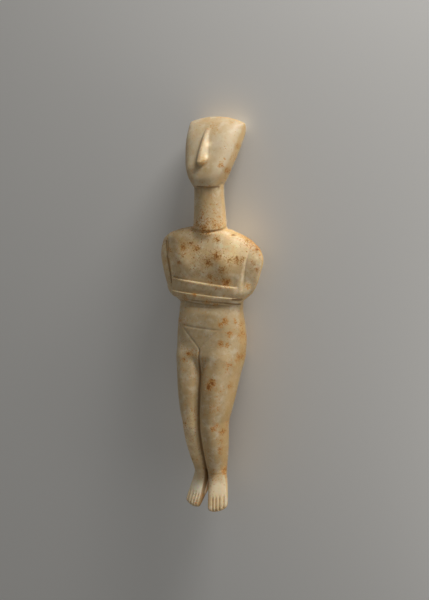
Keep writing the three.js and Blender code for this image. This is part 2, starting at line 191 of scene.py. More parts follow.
# The upper arms lie behind the chest. Pairs are shares of the way from low to high
UPPER_ARM = {
    "low": 0.574,
    "high": 0.692,
    "set_back": 0.015,
    "shallower": 0.5,
    "shallow": (0, 0.9),
    "fade_in": (-0.15, 0.2),
    "fade_out": (0.9, 1.12),
    "low_step": 0.0032,
    "high_step": 0.001,
    "back": 0.05,
}
ARM_GROOVE = {"left": 0.001, "right": 0.005, "place": 0.002, "width": 0.0026}
CHEST_ROLL = {"depth": 0.006, "width": 0.045}
NECK_LINE = {
    "front": 0.7135,
    "front_depth": 0.045,
    "rise": 0.25,
    "depth": 0.003,
    "width": 0.003,
    "reach": 0.052,
    "fade": 0.008,
}
PUBIC = {
    "half": 0.056,
    "top": 0.4735,
    "point": 0.421,
    "bend": 0.9,
    "tilt": -0.05,
    "depth": 0.0008,
    "width": 0.0026,
    "ends": (0.92, 1.08),
}
CLEFT_LINE = {"top": 0.425, "full": 0.417, "depth": 0.0025, "width": 0.0022}
KNEE_LINE = {"up": 0.233, "depth": 0.0004, "width": 0.005}
SPINE = {"start": 0.44, "end": 0.7, "fade_in": 0.05, "fade_out": 0.03, "depth": 0.0032, "width": 0.008}
BACK_SHARE = 0.7  # how deep the arms are carved behind, against the front
RELIEF_STARTS = (0.002, 0.012)  # the carving grows over this depth from the middle

# The feet
LEFT_FOOT = {"ankle": (0.0215, 0.086, 0.002), "splay": 28, "droop": 57}
RIGHT_FOOT = {"ankle": (0.018, 0.0868, -0.0033), "splay": 6.5, "droop": 51}
TOE_BOW = 11
LONGEST_TOE = -0.009
FOOT_SECTIONS = [
    [-0.02, 0.016, 0.02, -0.02],
    [0, 0.0195, 0.03, -0.028],
    [0.03, 0.0242, 0.0225, -0.024],
    [0.06, 0.0254, 0.0145, -0.017],
    [0.085, 0.0256, 0.009, -0.0115],
    [0.1, 0.0245, 0.005, -0.007],
]
TOE_GROOVES = {
    "shares": (-0.52, -0.2, 0.17, 0.6),
    "start": 0.062,
    "full": 0.074,
    "depth": 0.0044,
    "width": 0.0015,
}
ANKLE_CREASE = {"along": 0.004, "depth": 0.0012, "width": 0.002}


# Curves and blends

TINY = 1e-6
AXES = np.eye(3, dtype=int)


def slopes_of(xs, ys):
    """Slopes of a monotone curve through the points."""
    secant = np.diff(ys) / np.diff(xs)
    slopes = np.concatenate([secant[:1], np.zeros(len(xs) - 2), secant[-1:]])
    before, after = secant[:-1], secant[1:]
    rising = before * after > 0
    slopes[1:-1][rising] = (2 * before * after)[rising] / (before + after)[rising]
    return slopes


def curve(xs, ys, samples=600):
    xs = np.array(xs, float)
    ys = np.array(ys, float)
    slopes = slopes_of(xs, ys)
    fine = np.linspace(xs[0], xs[-1], samples + 1)
    k = np.clip(np.searchsorted(xs, fine, side="right") - 1, 0, len(xs) - 2)
    span = np.diff(xs)[k]
    t = (fine - xs[k]) / span
    u = 1 - t
    table = ys[k] * u * u * (1 + 2 * t) + slopes[k] * span * t * u * u
    table += ys[k + 1] * t * t * (3 - 2 * t) - slopes[k + 1] * span * t * t * u
    return lambda x: np.interp(x, fine, table)


def curves_of(rows):
    heights = [row[0] for row in rows]
    return [curve(heights, [row[c] for row in rows]) for c in range(1, len(rows[0]))]


def smooth(start, end, x):
    t = np.clip((x - start) / (end - start), 0, 1)
    return t * t * (3 - 2 * t)


def blend(a, b, width):
    """The nearer of two forms, rounded where they meet."""
    h = np.maximum(width - np.abs(a - b), 0) / width
    return np.minimum(a, b) - h * h * width / 4


def cut_by(a, b, width):
    return -blend(-a, -b, width)


def notch(distance, width):
    return np.exp(-((distance / width) ** 2))


def section(dx, dz, half_width, half_depth, power):
    """Roughly the distance to a rounded section: below zero inside."""
    u = np.abs(dx) / half_width
    v = np.abs(dz) / half_depth
    r = np.maximum(u**power + v**power, TINY) ** (1 / power)
    slope = np.hypot((u / r) ** (power - 1) / half_width, (v / r) ** (power - 1) / half_depth)
    return (r - 1) / np.maximum(slope, TINY)


def lofted(rows, squareness, squareness_inside=None):
    half, front, back, aside = curves_of(rows)
    start, end = rows[0][0], rows[-1][0]

    def form(x, y, z):
        f, b = front(y), back(y)
        across = x - aside(y)
        power = np.where(across < 0, squareness_inside or squareness, squareness)
        side = section(across, z - (f + b) / 2, half(y), (f - b) / 2, power)
        return cut_by(side, np.maximum(y - end, start - y), BLEND["end"])

    return form


# The forms

straight_trunk = lofted(TRUNK, SQUARENESS["trunk"])
neck = lofted(NECK, SQUARENESS["neck"])
straight_head = lofted(HEAD, SQUARENESS["head"])
leg = lofted(LEG, SQUARENESS["leg"], SQUARENESS["leg_inside"])
leg_half, leg_front, leg_back, _ = curves_of(LEG)
foot_half, foot_top, foot_sole = curves_of(FOOT_SECTIONS)
left_arm_line, = curves_of(LEFT_ARM_LINE)
right_arm_line, = curves_of(RIGHT_ARM_LINE)


def trunk(x, y, z):
    fade = smooth(SHOULDERS["start"], SHOULDERS["end"], y)
    return straight_trunk(x, y + SHOULDERS["slope"] * x * (y - SHOULDERS["level"]) * fade, z)


def bowed(x, y):
    start = HEAD[0][0]
    crown_bow = np.where(x > 0, CROWN_BOW["left"], CROWN_BOW["right"])
    return y + (CHIN_BOW + (crown_bow - CHIN_BOW) * np.clip((y - start) / (1 - start), 0, 1)) * x * x


def nose(x, y, z):
    down = np.clip((NOSE["top"] - y) / (NOSE["top"] - NOSE["base"]), 0, 1)
    u = np.abs(x) / (NOSE["half_top"] + (NOSE["half_base"] - NOSE["half_top"]) * down)
    base = NOSE["base"] + NOSE["rounding"] * u * u
    below, above = NOSE["underside"]
    end = smooth(base + below, base + above, y)
    ridge = np.sin(down * np.pi / 2) ** NOSE["fullness"] * (1 - smooth(NOSE["flat"], 1, u))
    return np.where(z > NOSE["behind"], NOSE["height"] * ridge * end, 0)


def head(x, y, z):
    return straight_head(x, bowed(x, y), z) - nose(x, y, z)


def foot(pose, x, y, z):
    """A foot in its own frame: along to the toes, across to the little toe, up to the instep."""
    splay, droop = np.radians(pose["splay"]), np.radians(pose["droop"])
    dx, dy, dz = (place - middle for place, middle in zip((x, y, z), pose["ankle"]))
    ahead = dx * np.sin(splay) + dz * np.cos(splay)
    across = dx * np.cos(splay) - dz * np.sin(splay)
    up = ahead * np.sin(droop) + dy * np.cos(droop)
    along = ahead * np.cos(droop) - dy * np.sin(droop) + TOE_BOW * (across - LONGEST_TOE) ** 2
    half, top, sole = foot_half(along), foot_top(along), foot_sole(along)
    side = section(across, up - (top + sole) / 2, half, (top - sole) / 2, SQUARENESS["foot"])
    ends = np.maximum(along - FOOT_SECTIONS[-1][0], FOOT_SECTIONS[0][0] - along)
    whole = cut_by(side, ends, BLEND["toes"])
    grooves = sum(notch(across - share * half, TOE_GROOVES["width"]) for share in TOE_GROOVES["shares"])
    deepening = smooth(TOE_GROOVES["start"], TOE_GROOVES["full"], along)
    carved = TOE_GROOVES["depth"] * np.minimum(grooves, 1) * deepening
    carved += ANKLE_CREASE["depth"] * notch(along - ANKLE_CREASE["along"], ANKLE_CREASE["width"])
    return whole + np.where(up > 0, carved, 0)


def spot(place, x, y):
    """A small soft bump, or a pit where its height is below zero."""
    u, v = (x - place["across"]) / place["long"], (y - place["up"]) / place["wide"]
    return place["height"] * np.exp(-u * u - v * v)


def line_at(line, x):
    middle, slope, bend = line
    return middle + slope * x + bend * x * x


def forearms(x, y):
    edge, rise, fade = FOREARMS["edge"], FOREARMS["rise"], FOREARMS["fade"]
    upper, middle, lower = [line_at(FOREARMS[name], x) for name in ("upper", "middle", "lower")]
    sharp = edge * FOREARMS["sharper"]
    on_upper = smooth(upper + edge, upper - sharp, y)
    on_lower = smooth(middle + edge, middle - sharp, y)
    on_waist = smooth(lower + edge, lower - edge, y)
    down_upper = np.clip((upper - y) / (upper - middle), 0, 1)
    down_lower = np.clip((middle - y) / (middle - lower), 0, 1)
    upper_face = rise * (1 - down_upper)
    lower_face = rise * (FOREARMS["lower_rise"] - FOREARMS["lower_fall"] * down_lower**2)
    chest = -FOREARMS["hollow"] * smooth(upper + FOREARMS["hollow_length"], upper, y)
    belly = -FOREARMS["waist"] * smooth(lower - FOREARMS["waist_length"], lower, y)
    above = chest * (1 - on_upper) + upper_face * on_upper * (1 - on_lower)
    below = lower_face * on_lower * (1 - on_waist) + belly * on_waist
    reach = np.where(x > 0, FOREARMS["near_reach"], FOREARMS["far_reach"])
    ends = 1 - smooth(reach, reach + fade, np.abs(x))
    return (above + below) * ends + spot(FINGERTIPS, x, y) + spot(ELBOW_PIT, x, y)


def upper_arms(x, y):
    low, high, back = (UPPER_ARM[name] for name in ("low", "high", "back"))
    t = (y - low) / (high - low)
    step = UPPER_ARM["low_step"] + (UPPER_ARM["high_step"] - UPPER_ARM["low_step"]) * np.clip(t, 0, 1)
    out = np.where(x > 0, x - left_arm_line(y), -x - right_arm_line(y))
    groove = np.where(x > 0, ARM_GROOVE["left"], ARM_GROOVE["right"])
    along = smooth(*UPPER_ARM["fade_in"], t) * (1 - smooth(*UPPER_ARM["fade_out"], t))
    roll = CHEST_ROLL["depth"] * smooth(-CHEST_ROLL["width"], 0, out)
    shallower = 1 - UPPER_ARM["shallower"] * smooth(*UPPER_ARM["shallow"], t)
    set_back = UPPER_ARM["set_back"] * shallower - CHEST_ROLL["depth"]
    stepped = (roll + set_back * smooth(-step, step, out)) * (1 - smooth(step, back, out))
    grooved = groove * notch(out - ARM_GROOVE["place"], ARM_GROOVE["width"])
    return -along * (stepped + grooved)


def breasts(x, y):
    across = np.abs(x) - BREASTS["across"]
    up = (y - BREASTS["up"]) * BREASTS["lengthening"]
    return BREASTS["height"] * notch(np.hypot(across, up), BREASTS["spread"])


def pubic_triangle(x, y):
    side = np.abs(x) / PUBIC["half"]
    drop = PUBIC["top"] - PUBIC["point"]
    diagonal = PUBIC["point"] + drop * side ** PUBIC["bend"]
    top = notch(y - PUBIC["tilt"] * x - PUBIC["top"], PUBIC["width"])
    lower = notch((y - diagonal) / np.hypot(1, drop / PUBIC["half"]), PUBIC["width"])
    return -PUBIC["depth"] * np.maximum(top, lower) * (1 - smooth(*PUBIC["ends"], side))


def cleft_line(x, y):
    """The cleft's thin upper end, from the triangle's point down."""
    along = smooth(CLEFT_LINE["top"], CLEFT_LINE["full"], y)
    return -CLEFT_LINE["depth"] * notch(x, CLEFT_LINE["width"]) * along


def front_relief(x, y):
    knees = -KNEE_LINE["depth"] * notch(y - KNEE_LINE["up"], KNEE_LINE["width"])
    marks = pubic_triangle(x, y) + cleft_line(x, y) + knees
    return forearms(x, y) + upper_arms(x, y) + breasts(x, y) + marks


def back_relief(x, y):
    start, end = SPINE["start"], SPINE["end"]
    begun = smooth(start, start + SPINE["fade_in"], y)
    ended = smooth(end - SPINE["fade_out"], end, y)
    spine = SPINE["depth"] * begun * (1 - ended) * notch(x, SPINE["width"])
    return upper_arms(x, y) * BACK_SHARE - spine


def neck_line(x, y, z):
    reach = NECK_LINE["reach"]
    height = NECK_LINE["front"] + NECK_LINE["rise"] * (NECK_LINE["front_depth"] - z)
    ends = 1 - smooth(reach - NECK_LINE["fade"], reach, np.abs(x))
    return NECK_LINE["depth"] * notch(y - height, NECK_LINE["width"]) * ends


def legs(x, y, z):
    side = np.abs(x)
    form = blend(leg(side, y, z), leg(-side, y, z), BLEND["cleft"])
    middle = (leg_front(y) + leg_back(y)) / 2
    share = WEB["share_of_depth"] + (1 - WEB["share_of_depth"]) * smooth(*WEB["shallow"], y)
    half_depth = (leg_front(y) - leg_back(y)) / 2 * share
    web = np.maximum(side - leg_half(y), np.abs(z - middle) - half_depth)
    form = blend(form, np.maximum(web, WEB["start"] - y), BLEND["web"])
    feet = np.minimum(foot(LEFT_FOOT, x, y, z), foot(RIGHT_FOOT, -x, y, z))
    return np.where(y < ANKLES_END, blend(form, feet, BLEND["ankle"]), form)


def figure(x, y, z):
    """The whole figure: below zero inside."""
    upper = blend(trunk(x, y, z), neck(x, y, z), BLEND["neck"])
    upper = blend(upper, head(x, y, z), BLEND["jaw"]) + neck_line(x, y, z)
    share = smooth(HIPS["start"], HIPS["end"], y)
    lower = trunk(x, y, z) * share + legs(x, y, z) * (1 - share)
    relief = np.where(z > 0, front_relief(x, y), back_relief(x, y))
    return np.where(y > WAIST, upper, lower) - relief * smooth(*RELIEF_STARTS, np.abs(z))


# The surface

def sample(field, low, high, cell):
    """Samples the field on a grid, and leaves blocks that the surface misses at one value."""
    count = [int(np.ceil((h - l) / (cell * BLOCK))) * BLOCK + 1 for l, h in zip(low, high)]
    axes = [l + cell * np.arange(n) for l, n in zip(low, count)]
    values = np.empty(count, np.float32)
    half = cell * BLOCK / 2
    for i in range(0, count[0], BLOCK):
        for j in range(0, count[1], BLOCK):
            for k in range(0, count[2], BLOCK):
                cut = tuple(slice(start, start + BLOCK + 1) for start in (i, j, k))
                x, y, z = (axes[d][cut[d]] for d in range(3))
                middle = [np.array([a[0] + half]) for a in (x, y, z)]
                value = field(*middle)[0]
                if abs(value) > BLOCK_REACH * half:
                    values[cut] = value
                else:
                    values[cut] = field(*np.meshgrid(x, y, z, indexing="ij"))
    return values


def surface_of(field, low, high, cell):
    """A vertex in each cell that the surface crosses, and a four-sided face for each crossed edge."""
    values = sample(field, low, high, cell)
    inside = values < 0
    cells = [n - 1 for n in values.shape]
    offsets = [(a, b, c) for a in (0, 1) for b in (0, 1) for c in (0, 1)]
    total = np.zeros(cells, np.int8)
    for a, b, c in offsets:
        total += inside[a:a + cells[0], b:b + cells[1], c:c + cells[2]]
    crossed = np.argwhere((total > 0) & (total < 8))
    numbers = np.full(cells, -1, np.int32)
    numbers[tuple(crossed.T)] = np.arange(len(crossed))
    corner = {o: values[tuple((crossed + o).T)].astype(float) for o in offsets}
    sums = np.zeros((len(crossed), 3))
    hits = np.zeros(len(crossed))
    for start in offsets:
        for d in range(3):
            if start[d]:
                continue
            end = tuple(v + (n == d) for n, v in enumerate(start))
            a, b = corner[start], corner[end]
            hit = (a < 0) != (b < 0)
            point = np.tile(np.array(start, float), (len(crossed), 1))
            point[:, d] = a / np.where(hit, a - b, 1)
            sums += point * hit[:, None]
            hits += hit
    points = np.array(low) + (crossed + sums / hits[:, None]) * cell
    faces = []
    for d in range(3):
        ahead, u, v = AXES[d], AXES[(d + 1) % 3], AXES[(d + 2) % 3]
        here = inside[1:-1, 1:-1, 1:-1]
        there = inside[tuple(slice(1 + a, n + a) for a, n in zip(ahead, cells))]
        at = np.argwhere(here != there) + 1
        ring = np.stack([numbers[tuple((at - s).T)] for s in (u + v, v, 0 * u, u)], 1)
        leaving = here[here != there]
        faces.append(np.where(leaving[:, None], ring, ring[:, ::-1]))
    return settle(field, points, cell), np.concatenate(faces)


def settle(field, points, cell):
    """Moves the points onto the surface, by no more than a cell."""
    moved = points.copy()
    step, most, reach = cell * SLOPE_STEP, cell * SETTLE_STEP, cell * SETTLE_REACH
    for _ in range(SETTLE_ROUNDS):
        value = field(*moved.T)
        slope = np.stack([(field(*(moved + step * axis).T) - value) / step for axis in AXES], 1)
        length = np.linalg.norm(slope, axis=1) + TINY
        moved -= (np.clip(value / length, -most, most) / length)[:, None] * slope
        moved = np.clip(moved, points - reach, points + reach)
    return moved


def to_frame(points):
    """From shares to metres: laid on the back, in the solid's box, flat where it rests."""
    low, high = points.min(0), points.max(0)
    scale = min((HIGH[d] - LOW[d] - 2 * INSET) / (high[d] - low[d]) for d in (0, 1))
    placed = (points - (low + high) / 2) * scale
    placed[:, 0] += (LOW.x + HIGH.x) / 2
    placed[:, 1] += (LOW.y + HIGH.y) / 2
    placed[:, 2] += HIGH.z - INSET - placed[:, 2].max()
    placed[:, 2] = np.maximum(placed[:, 2], LOW.z + INSET)
    return placed


# Materials

PALE_HEAD = (0.17, 0.24)  # metres up from the middle of the figure
PALE_FEET = (-0.255, -0.275)
OCHRE_STONE = (0.6, 0.46, 0.27)
PALE_STONE = (0.68, 0.56, 0.38)
WARM_STONE = (0.52, 0.34, 0.14)
LIGHT_STONE = (0.76, 0.68, 0.52)
# Brown for specks and soil, and for painted shade in creases and hollows
SOIL_AND_SHADE_STONE = (0.42, 0.3, 0.16)
# Warm orange on surfaces that face sideways: a painted glow of light through the marble's thin edges
GLOWING_RIM_STONE = (0.66, 0.42, 0.16)
# Dark brown for soil in grooves and lines, and for painted shadow in creases
GROOVE_STONE = (0.24, 0.14, 0.055)
RUST = (0.58, 0.26, 0.055)
DARK_RUST = (0.28, 0.1, 0.024)
FLOOR_GREY = (0.85, 0.85, 0.85, 1)

# Noises in the marble: scale, detail, roughness, distortion
CLOUDS = (16, 4, 0.55, 0.4)
MOTTLE = (70, 5, 0.6)
SPECKS = (150, 3, 0.6)
HOLLOW_EDGE = (45, 4, 0.6)
LINE_EDGE = (180, 3, 0.6)
STAIN_EDGE = (60, 3, 0.6)
VEINS = (110, 3, 0.6, 1.2)
CLUSTERS = (22, 2, 0.5)
GRAIN = (380, 3, 0.6, 0.8)
FINE_PITS = (260, 6, 0.7)

SEEN_FROM = (-0.1, 0.2)  # marks show on surfaces that face the viewer more than this

# Rust marks as they are seen from the front left: place across that view, place up, reach, strength
RUST_MARKS = [
    (0.024, 0.88, 0.008, 0.9),
    (0.033, 0.896, 0.004, 0.6),
    (0.04, 0.866, 0.01, 1),
    (0.035, 0.85, 0.005, 0.6),
    (-0.016, 0.87, 0.005, 0.6),
    (-0.019, 0.884, 0.009, 0.8),
    (-0.044, 0.867, 0.005, 0.5),
    (0.009, 0.955, 0.004, 0.5),
    (0.049, 0.985, 0.006, 0.6),
    (0.068, 0.975, 0.008, 0.5),
    (0.066, 0.925, 0.01, 0.7),
    (0.066, 0.9, 0.01, 0.5),
    (0.017, 0.78, 0.007, 0.6),
    (0.01, 0.764, 0.006, 0.7),
    (0.02, 0.752, 0.007, 0.6),
    (0.007, 0.742, 0.007, 0.7),
    (-0.046, 0.726, 0.014, 0.6),
    (-0.016, 0.716, 0.016, 0.7),
    (0.014, 0.728, 0.014, 0.7),
    (-0.076, 0.725, 0.012, 0.6),
    (-0.101, 0.715, 0.014, 0.6),
    (0.099, 0.696, 0.02, 0.8),
    (0.119, 0.68, 0.018, 0.9),
    (0.016, 0.695, 0.01, 0.7),
    (-0.053, 0.684, 0.008, 0.8),
    (-0.069, 0.675, 0.009, 1),
    (-0.036, 0.672, 0.008, 0.8),
    (0.014, 0.657, 0.016, 0.7),
    (-0.006, 0.64, 0.012, 1),
    (0.044, 0.648, 0.01, 0.8),
    (0.066, 0.648, 0.013, 0.8),
    (0.078, 0.65, 0.008, 0.9),
    (0.029, 0.622, 0.012, 0.8),
    (-0.004, 0.605, 0.007, 0.9),
    (-0.003, 0.588, 0.006, 0.8),
    (0.04, 0.592, 0.01, 1),
    (-0.081, 0.635, 0.008, 0.8),
    (-0.106, 0.665, 0.008, 0.6),
    (-0.071, 0.655, 0.01, 0.7),
    (0.104, 0.64, 0.008, 0.6),
    (0.114, 0.625, 0.008, 0.6),
    (0.091, 0.582, 0.007, 0.8),
    (-0.042, 0.558, 0.006, 0.8),
    (-0.011, 0.54, 0.01, 0.7),
    (0.012, 0.534, 0.008, 0.8),
    (-0.064, 0.545, 0.008, 0.8),
    (0.034, 0.495, 0.009, 1),
    (0.024, 0.485, 0.009, 0.8),
    (0.062, 0.49, 0.007, 0.8),
    (0.076, 0.485, 0.01, 0.7),
    (0.046, 0.463, 0.01, 1),
    (0.076, 0.458, 0.012, 0.8),
    (0.024, 0.438, 0.01, 0.9),
    (0.041, 0.435, 0.008, 0.9),
    (-0.028, 0.45, 0.006, 0.8),
    (-0.056, 0.407, 0.006, 1),
    (-0.069, 0.39, 0.006, 0.9),
    (-0.069, 0.366, 0.006, 0.6),
    (0.044, 0.385, 0.012, 0.9),
    (0.074, 0.4, 0.012, 0.7),
    (0.002, 0.345, 0.009, 1.2),
    (-0.005, 0.33, 0.008, 1.1),
    (0.047, 0.33, 0.008, 0.9),
    (0.014, 0.232, 0.008, 0.8),
    (0.006, 0.222, 0.009, 0.9),
    (0.029, 0.21, 0.009, 1),
    (0.026, 0.185, 0.008, 0.8),
    (0.024, 0.165, 0.008, 1),
    (0.024, 0.15, 0.007, 0.8),
    (0.034, 0.1, 0.014, 0.7),
    (-0.066, 0.225, 0.01, 0.5),
    (-0.046, 0.13, 0.012, 0.5),
    (0.004, 0.095, 0.02, 0.4),
]


# Dark brown lines, seen the same way: both ends (across, up), width, strength. Some are brown soil; the
# others are painted shadow in creases and under edges, browned like soil.
SOIL_AND_SHADOW_LINES = [
    # Painted shadow under the jaw
    ((-0.0342, 0.8269), (-0.0021, 0.8251), 0.0022, 1),
    ((-0.0021, 0.8251), (0.0276, 0.8268), 0.0022, 0.9),
    # Brown soil round the base of the neck
    ((-0.0476, 0.7213), (-0.0147, 0.7156), 0.003, 0.7),
    ((-0.0147, 0.7156), (0.0277, 0.7201), 0.003, 0.7),
    # The far arm's line: painted shadow at its edge, with brown soil in it
    ((-0.1149, 0.6871), (-0.1118, 0.6472), 0.002, 0.8),
    ((-0.1118, 0.6472), (-0.104, 0.5978), 0.002, 1),
    ((-0.104, 0.5978), (-0.1015, 0.58), 0.002, 0.9),
    ((0.0907, 0.6919), (0.0894, 0.6824), 0.002, 0.7),
    # Painted shadow under the lower forearms, along the waist
    ((-0.0717, 0.5455), (-0.0446, 0.5416), 0.0022, 0.5),
    ((-0.0446, 0.5416), (-0.009, 0.5412), 0.0022, 0.7),
    ((-0.009, 0.5412), (0.0345, 0.5399), 0.0022, 0.8),
    ((0.0345, 0.5399), (0.0745, 0.534), 0.0025, 1),
    # Painted shade in the elbow pit
    ((0.055, 0.5495), (0.076, 0.5475), 0.004, 1),
    # Painted shadow in the near ankle's crease, with a brown band
    ((0, 0.0925), (0.0388, 0.0965), 0.003, 0.5),
]

# Places that are paler or browner than the rest, seen the same way: across, up, reach, change. Besides
# the stone's own tone, these paint light and shade: a painted highlight on the chest and nose, painted
# light that lifts the shade of the arms, far shin and feet, and a painted shadow of the forearms on the
# waist.
TONES_AND_PAINTED_LIGHT = [
    # Paler chest: painted highlight
    (-0.02, 0.66, 0.085, 0.5),
    (0.055, 0.67, 0.035, 0.6),
    # Paler arms: painted light lifting their shade
    (-0.12, 0.63, 0.03, 0.25),
    (0.107, 0.63, 0.035, 0.25),
    # Browner waist: painted shadow of the forearms
    (-0.02, 0.49, 0.04, -0.15),
    # Paler far shin and both feet: painted light lifting their shade
    (-0.052, 0.23, 0.03, 0.4),
    (-0.047, 0.18, 0.03, 0.45),
    (-0.04, 0.135, 0.03, 0.4),
    (-0.042, 0.055, 0.03, 0.5),
    (0.016, 0.05, 0.035, 0.3),
    # Paler nose: painted highlight
    (-0.022, 0.925, 0.012, 0.1),
    (-0.006, 0.93, 0.009, 0.5),
    (-0.01, 0.9, 0.009, 0.5),
]
# Darker brown in the cleft between the legs, its brown encrustation with painted shade: its half width
# at the top and further down
CLEFT_SOIL_AND_SHADE = {"top": 0.42, "wide_from": 0.36, "half_top": 0.002, "half_low": 0.005, "full": 0.2}


class Nodes:
    """Short ways to write a material's nodes."""

    def __init__(self, name):
        self.material = bpy.data.materials.new(name)
        self.material.use_nodes = True
        self.tree = self.material.node_tree
        self.shader = self.tree.nodes["Principled BSDF"]

    def add(self, kind, **values):
        node = self.tree.nodes.new(kind)
        for key, value in values.items():
            setattr(node, key, value)
        return node

    def link(self, source, target):
        self.tree.links.new(source, target)

    def place(self, scale=(1, 1, 1)):
        coordinates = self.add("ShaderNodeTexCoord")
        mapping = self.add("ShaderNodeMapping")
        mapping.inputs["Scale"].default_value = scale
        self.link(coordinates.outputs["Object"], mapping.inputs["Vector"])
        return mapping.outputs["Vector"]

    def along_figure(self, place):
        """How far up the figure a place is, in metres from its middle."""
        node = self.add("ShaderNodeSeparateXYZ")
        self.link(place, node.inputs["Vector"])
        return node.outputs["Y"]

    def faces_up(self):
        """1 where the surface faces straight up or down, 0 where it faces a side or an end."""
        node = self.add("ShaderNodeSeparateXYZ")
        self.link(self.add("ShaderNodeTexCoord").outputs["Normal"], node.inputs["Vector"])
        return self.math("ABSOLUTE", node.outputs["Z"])

    def painted(self, name):
        return self.add("ShaderNodeAttribute", attribute_name=name).outputs["Fac"]

    def noise(self, place, scale, detail=4, roughness=0.5, distortion=0):
        node = self.add("ShaderNodeTexNoise")
        self.link(place, node.inputs["Vector"])
        node.inputs["Scale"].default_value = scale
        node.inputs["Detail"].default_value = detail
        node.inputs["Roughness"].default_value = roughness
        node.inputs["Distortion"].default_value = distortion
        return node.outputs["Fac"]

    def ramp(self, value, low, high, bottom=0, top=1):
        node = self.add("ShaderNodeMapRange", interpolation_type="SMOOTHSTEP")
        self.link(value, node.inputs["Value"])
        limits = {"From Min": low, "From Max": high, "To Min": bottom, "To Max": top}
        for socket, number in limits.items():
            node.inputs[socket].default_value = number
        return node.outputs["Result"]

    def math(self, operation, a, b=0):
        node = self.add("ShaderNodeMath", operation=operation)
        for socket, value in zip(node.inputs, (a, b)):
            if isinstance(value, (int, float)):
                socket.default_value = value
            else:
                self.link(value, socket)
        return node.outputs["Value"]

    def scaled(self, colour, factor):
        node = self.add("ShaderNodeVectorMath", operation="SCALE")
        self.link(colour, node.inputs[0])
        self.link(factor, node.inputs["Scale"])
        return node.outputs["Vector"]

    def mix(self, share, first, second):
        """Two colours: the first where the share is 0, the second where it is 1."""
        node = self.add("ShaderNodeMix", data_type="RGBA")
        sockets = {socket.identifier: socket for socket in node.inputs}
        self.link(share, node.inputs["Factor"])
        for socket, colour in ((sockets["A_Color"], first), (sockets["B_Color"], second)):
            if isinstance(colour, tuple):
                socket.default_value = (*colour, 1)
            else:
                self.link(colour, socket)
        return next(socket for socket in node.outputs if socket.identifier == "Result_Color")


def clean_stone(m, place, pale_ends):
    """Ochre stone with warm clouds and light mottling, paler on the head and feet, with a painted
    highlight on the nose and painted light on the feet.
    """
    stone = m.mix(pale_ends, OCHRE_STONE, PALE_STONE)
    stone = m.mix(m.ramp(m.noise(place, *CLOUDS), 0.42, 0.68, top=0.6), stone, WARM_STONE)
    stone = m.mix(m.ramp(m.noise(place, *MOTTLE), 0.45, 0.7, top=0.5), stone, LIGHT_STONE)
    specks = m.math("SUBTRACT", m.noise(place, *SPECKS), m.math("MULTIPLY", pale_ends, 0.1))
    stone = m.mix(m.ramp(specks, 0.52, 0.66, top=0.35), stone, SOIL_AND_SHADE_STONE)
    # Light stone where the painted paleness is high on the head and feet: a painted highlight on the
    # nose, painted light on the feet
    painted_light_share = m.math("MULTIPLY", m.ramp(m.painted("tone_and_painted_light"), 1.2, 1.6, top=0.8), pale_ends)
    return m.mix(painted_light_share, stone, LIGHT_STONE)


def soiled_and_shaded(m, place, stone):
    """A painted glow on the rims, and brown soil with painted shade in hollows, grooves and lines."""
    # A painted glow of light through the thin edges, warm where the surface faces sideways
    stone = m.mix(m.ramp(m.faces_up(), 0.35, 0, top=0.6), stone, GLOWING_RIM_STONE)
    # Darker brown in small grooves and creases: the soil in them, with painted shade
    fine_bulge = m.painted("fine_bulge")
    stone = m.mix(m.ramp(fine_bulge, -0.1, -0.6, top=0.35), stone, SOIL_AND_SHADE_STONE)
    stone = m.mix(m.ramp(fine_bulge, -0.5, -1.6, top=0.8), stone, GROOVE_STONE)
    # Darker in the broad hollows between forms: painted shade, with the soil there
    uneven = m.math("MULTIPLY", m.noise(place, *HOLLOW_EDGE), -0.6)
    hollow = m.math("ADD", m.painted("hollow"), uneven)
    stone = m.mix(m.ramp(hollow, -0.45, -1.1, top=0.6), stone, SOIL_AND_SHADE_STONE)
    # Dark brown along the lines: soil, and painted shadow under the jaw and forearms and in creases
    uneven = m.math("MULTIPLY", m.noise(place, *LINE_EDGE), 0.5)
    lines = m.math("ADD", m.painted("soil_and_shadow"), uneven)
    return m.mix(m.ramp(lines, 0.35, 1.1, top=0.85), stone, GROOVE_STONE)


def rusted(m, stone, place, pale_ends, grain):
    """Rust-brown root marks, crisp and broken up, in the places painted for them."""
    veins = m.math("ABSOLUTE", m.math("SUBTRACT", m.noise(place, *VEINS), 0.5))
    cluster = m.ramp(m.noise(place, *CLUSTERS), 0.47, 0.7, top=0.4)
    cluster = m.math("SUBTRACT", cluster, m.math("MULTIPLY", pale_ends, 0.15))
    amount = m.math("MULTIPLY", m.math("ADD", m.painted("rust"), cluster), 0.66)
    amount = m.math("ADD", amount, m.math("MULTIPLY", grain, 2))
    amount = m.math("ADD", amount, m.math("MULTIPLY", m.ramp(veins, 0.05, 0.005), 0.35))
    stone = m.mix(m.ramp(amount, 1.44, 1.62, top=0.9), stone, RUST)
    return m.mix(m.ramp(amount, 1.74, 1.94, top=0.85), stone, DARK_RUST)


